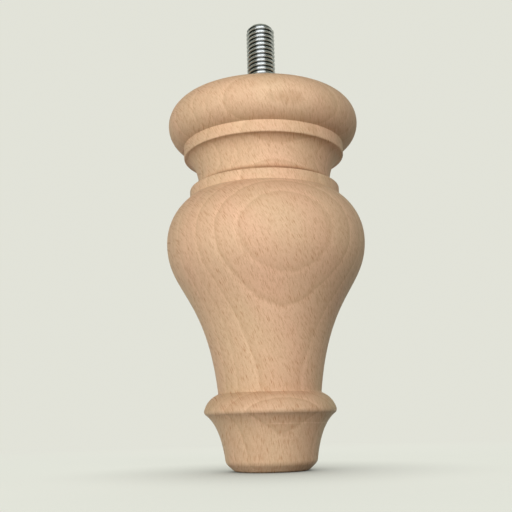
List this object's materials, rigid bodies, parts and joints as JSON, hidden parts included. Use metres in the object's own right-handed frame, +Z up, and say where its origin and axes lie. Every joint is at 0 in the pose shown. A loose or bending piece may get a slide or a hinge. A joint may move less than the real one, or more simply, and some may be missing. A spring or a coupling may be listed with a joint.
{
  "type": "turned furniture leg",
  "caption": "Turned wooden furniture leg with a full belly, beads, fillets and coves, tapering to a small chamfered foot, and a threaded stud on its axis to screw into the furniture.",
  "frame": {"origin": "middle of the foot's flat underside", "axes": "+Z up the turning axis, from the foot to the stud; X and Y are free because the leg is round"},
  "size_m": [0.0535, 0.0534, 0.124],
  "materials": {
    "beech": "matte",
    "zinc_steel": "satin"
  },
  "bodies": {
    "root": {"turned_leg": "beech", "hanger_bolt": "zinc_steel"}
  },
  "joints": []
}
